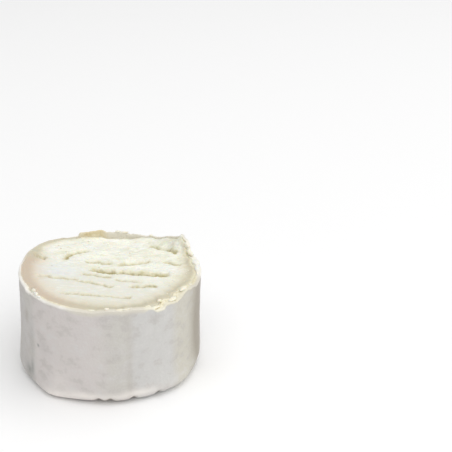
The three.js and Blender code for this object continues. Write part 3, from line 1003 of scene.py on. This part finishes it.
def paste_finish():
    """Ivory crumbly paste, yellower in its tears, with a tan creamline along the rind."""
    finish = Finish("paste", roughness=0.6)
    flecks = finish.speckle(1.3, stretch=(2.2, 1, 1))
    clouds = finish.speckle(8)
    fine = finish.speckle(0.45)
    colour = crumb_colour(finish, flecks, clouds)
    colour = tear_colour(finish, flecks, colour)
    colour = creamline_colour(finish, clouds, colour)
    finish.feed(finish.shader.inputs["Base Color"], colour)
    finish.feed(finish.shader.inputs["Roughness"], finish.ramp(flecks, 0.3, 0.7, 0.52, 0.72))
    finish.bump(finish.math("ADD", flecks, finish.product(fine, 0.5)), 0.07)
    soften(finish)
    return finish.material


def flake_finish(name):
    """Loose bits: cream where they tore, whiter where they carry rind or dry paste."""
    finish = Finish(name, roughness=0.7)
    mottle = finish.speckle(0.7)
    colour = finish.mix(finish.mask("white"), linear(246, 238, 214), linear(247, 246, 238))
    colour = finish.mix(finish.ramp(mottle, 0.5, 0.3, 0, 0.5), colour, linear(232, 225, 196))
    finish.feed(finish.shader.inputs["Base Color"], colour)
    finish.bump(mottle, 0.1)
    soften(finish)
    return finish.material


def soften(finish):
    """Lets a little light through the cheese's surface."""
    finish.shader.inputs["Subsurface Weight"].default_value = 0.25
    finish.shader.inputs["Subsurface Radius"].default_value = (1.0, 0.7, 0.45)
    finish.shader.inputs["Subsurface Scale"].default_value = 1.2 * METRES
    finish.shader.inputs["Specular IOR Level"].default_value = 0.35


def wall_colour(finish, patches, fuzz):
    """White mould in soft grey patches, with the wall's tones and marks, some of them painted light and
    shade: the paler lip at the foot in part, a yellower cast and dark brown at the right, and dark brown
    along the bottom and in the foot's folds.
    """
    clouds = finish.ramp(finish.speckle(11, detail=2), 0.35, 0.65)
    colour = finish.mix(clouds, linear(208, 204, 201), linear(209, 206, 199))
    colour = finish.tint(colour, "rosy", 0.8, 219, 212, 209)
    colour = finish.tint(colour, "cool", 0.8, 213, 212, 209)
    # painted reflection: yellower cast on the right of the wall
    colour = finish.tint(colour, "warm_reflection", 0.8, 212, 208, 194)
    colour = finish.mix(finish.ramp(patches, 0.5, 0.34, 0, 0.5), colour, linear(196, 191, 186))
    colour = finish.mix(finish.ramp(patches, 0.54, 0.72, 0, 0.55), colour, linear(219, 217, 214))
    colour = finish.mix(finish.ramp(fuzz, 0.4, 0.7, 0, 0.25), colour, linear(223, 221, 217))
    # paler lip at the foot: partly the rind's colour, partly painted light against the shade of its
    # downturned rounding
    colour = finish.mix(finish.mask("pale"), colour, linear(252, 246, 240))
    smudge = finish.product(finish.mask("grey"), finish.ramp(patches, 0.35, 0.6, 0.55, 1))
    colour = finish.mix(smudge, colour, linear(158, 158, 154))
    # brown: a real spot, and painted shade down the right edge and along the bottom of the foot
    colour = finish.tint(colour, "brown", 0.85, 166, 158, 144)
    # painted shade in the crevices of the foot's folds
    return finish.tint(colour, "fold", 0.65, 122, 108, 97)


def edge_colour(finish, patches, fuzz):
    """The rind's cut and torn edge: pale outside, cream inside, and gold on the flap at the back, with
    painted shade at the right and the back left.
    """
    mottle = finish.ramp(patches, 0.4, 0.6)
    torn = finish.mix(mottle, linear(234, 226, 196), linear(243, 237, 214))
    torn = finish.mix(finish.ramp(fuzz, 0.5, 0.36, 0, 0.7), torn, linear(222, 212, 174))
    outer = finish.mix(mottle, linear(231, 228, 220), linear(241, 238, 232))
    outer = finish.mix(finish.mask("crust"), outer, linear(238, 234, 216))
    outer = finish.mix(finish.mask("creamy"), outer, linear(230, 225, 205))
    outer = finish.tint(outer, "shaded", 0.75, 213, 208, 193)
    edge = finish.mix(finish.mask("inside"), outer, torn)
    edge = finish.tint(edge, "muted", 0.75, 222, 216, 201)
    edge = finish.tint(edge, "bright", 0.7, 251, 248, 236)
    edge = finish.mix(finish.mask("dull"), edge, linear(230, 225, 211))
    # partly painted shade: the back left rim darker and tan, where the rind's inner edge lies in shade
    edge = finish.tint(edge, "tan", 0.85, 216, 209, 193)
    gold = finish.mix(mottle, linear(235, 226, 199), linear(224, 210, 174))
    return finish.mix(finish.mask("golden"), edge, gold)


def rind_finish():
    """White mould outside, and the cheese's own cream and gold along its edge."""
    finish = Finish("rind", roughness=0.9)
    patches = finish.speckle(4.0, stretch=(1.3, 1.3, 1))
    fuzz = finish.speckle(0.9)
    fine = finish.speckle(0.4)
    wall = wall_colour(finish, patches, fuzz)
    edge = edge_colour(finish, patches, fuzz)
    finish.feed(finish.shader.inputs["Base Color"], finish.mix(finish.mask("edge"), wall, edge))
    finish.bump(finish.math("ADD", fuzz, finish.product(fine, 0.6)), 0.12)
    finish.shader.inputs["Sheen Weight"].default_value = 0.1
    finish.shader.inputs["Sheen Roughness"].default_value = 0.5
    finish.shader.inputs["Specular IOR Level"].default_value = 0.2
    return finish.material


def make_floor():
    mesh = bpy.data.meshes.new("floor")
    corners = [(x * FLOOR_HALF, y * FLOOR_HALF, 0) for x, y in ((-1, -1), (1, -1), (1, 1), (-1, 1))]
    mesh.from_pydata(corners, [], [(0, 1, 2, 3)])
    floor = link("floor", mesh)
    floor.data.materials.append(floor_finish())
    floor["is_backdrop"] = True


def floor_finish():
    material = bpy.data.materials.new("floor")
    material.use_nodes = True
    shader = material.node_tree.nodes["Principled BSDF"]
    shader.inputs["Base Color"].default_value = linear(253, 253, 253)
    shader.inputs["Roughness"].default_value = 0.9
    return material


def add_softbox():
    """One large square light overhead, a little to the front right, that looks at the cheese."""
    light = bpy.data.lights.new("overhead", "AREA")
    light.size = SOFTBOX["size"]
    light.energy = SOFTBOX["power"]
    lamp = link("overhead", light)
    lamp.location = SOFTBOX["at"]
    aim = Vector((0, 0, HEIGHT * METRES)) - lamp.location
    lamp.rotation_euler = aim.to_track_quat("-Z", "Y").to_euler()


def light_studio():
    """The softbox, and an even white surround."""
    add_softbox()
    world = bpy.data.worlds.new("studio")
    world.use_nodes = True
    background = world.node_tree.nodes["Background"]
    background.inputs["Color"].default_value = (1, 1, 1, 1)
    background.inputs["Strength"].default_value = WORLD_STRENGTH
    bpy.context.scene.world = world
    bpy.context.scene.view_settings.view_transform = "Standard"


def place_camera():
    lens = bpy.data.cameras.new("camera")
    lens.lens = LENS
    lens.sensor_width = SENSOR
    camera = link("camera", lens)
    camera.location = [METRES * c for c in CAMERA_AT]
    camera.rotation_euler = (math.radians(90 - CAMERA_DOWN), 0, 0)
    bpy.context.scene.camera = camera


place_camera()
paste = make_paste()
rind = make_rind()
flakes = make_flakes()
loose_crumbs = make_crumbs()
paste.data.materials.append(paste_finish())
rind.data.materials.append(rind_finish())
flakes.data.materials.append(flake_finish("flakes"))
loose_crumbs.data.materials.append(flake_finish("crumbs"))
for piece in (paste, rind, flakes, loose_crumbs):
    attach(piece, "root")
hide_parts(NODE)
make_floor()
light_studio()

[[list(corner) for corner in box] for box in (CAD_BOX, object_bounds())]
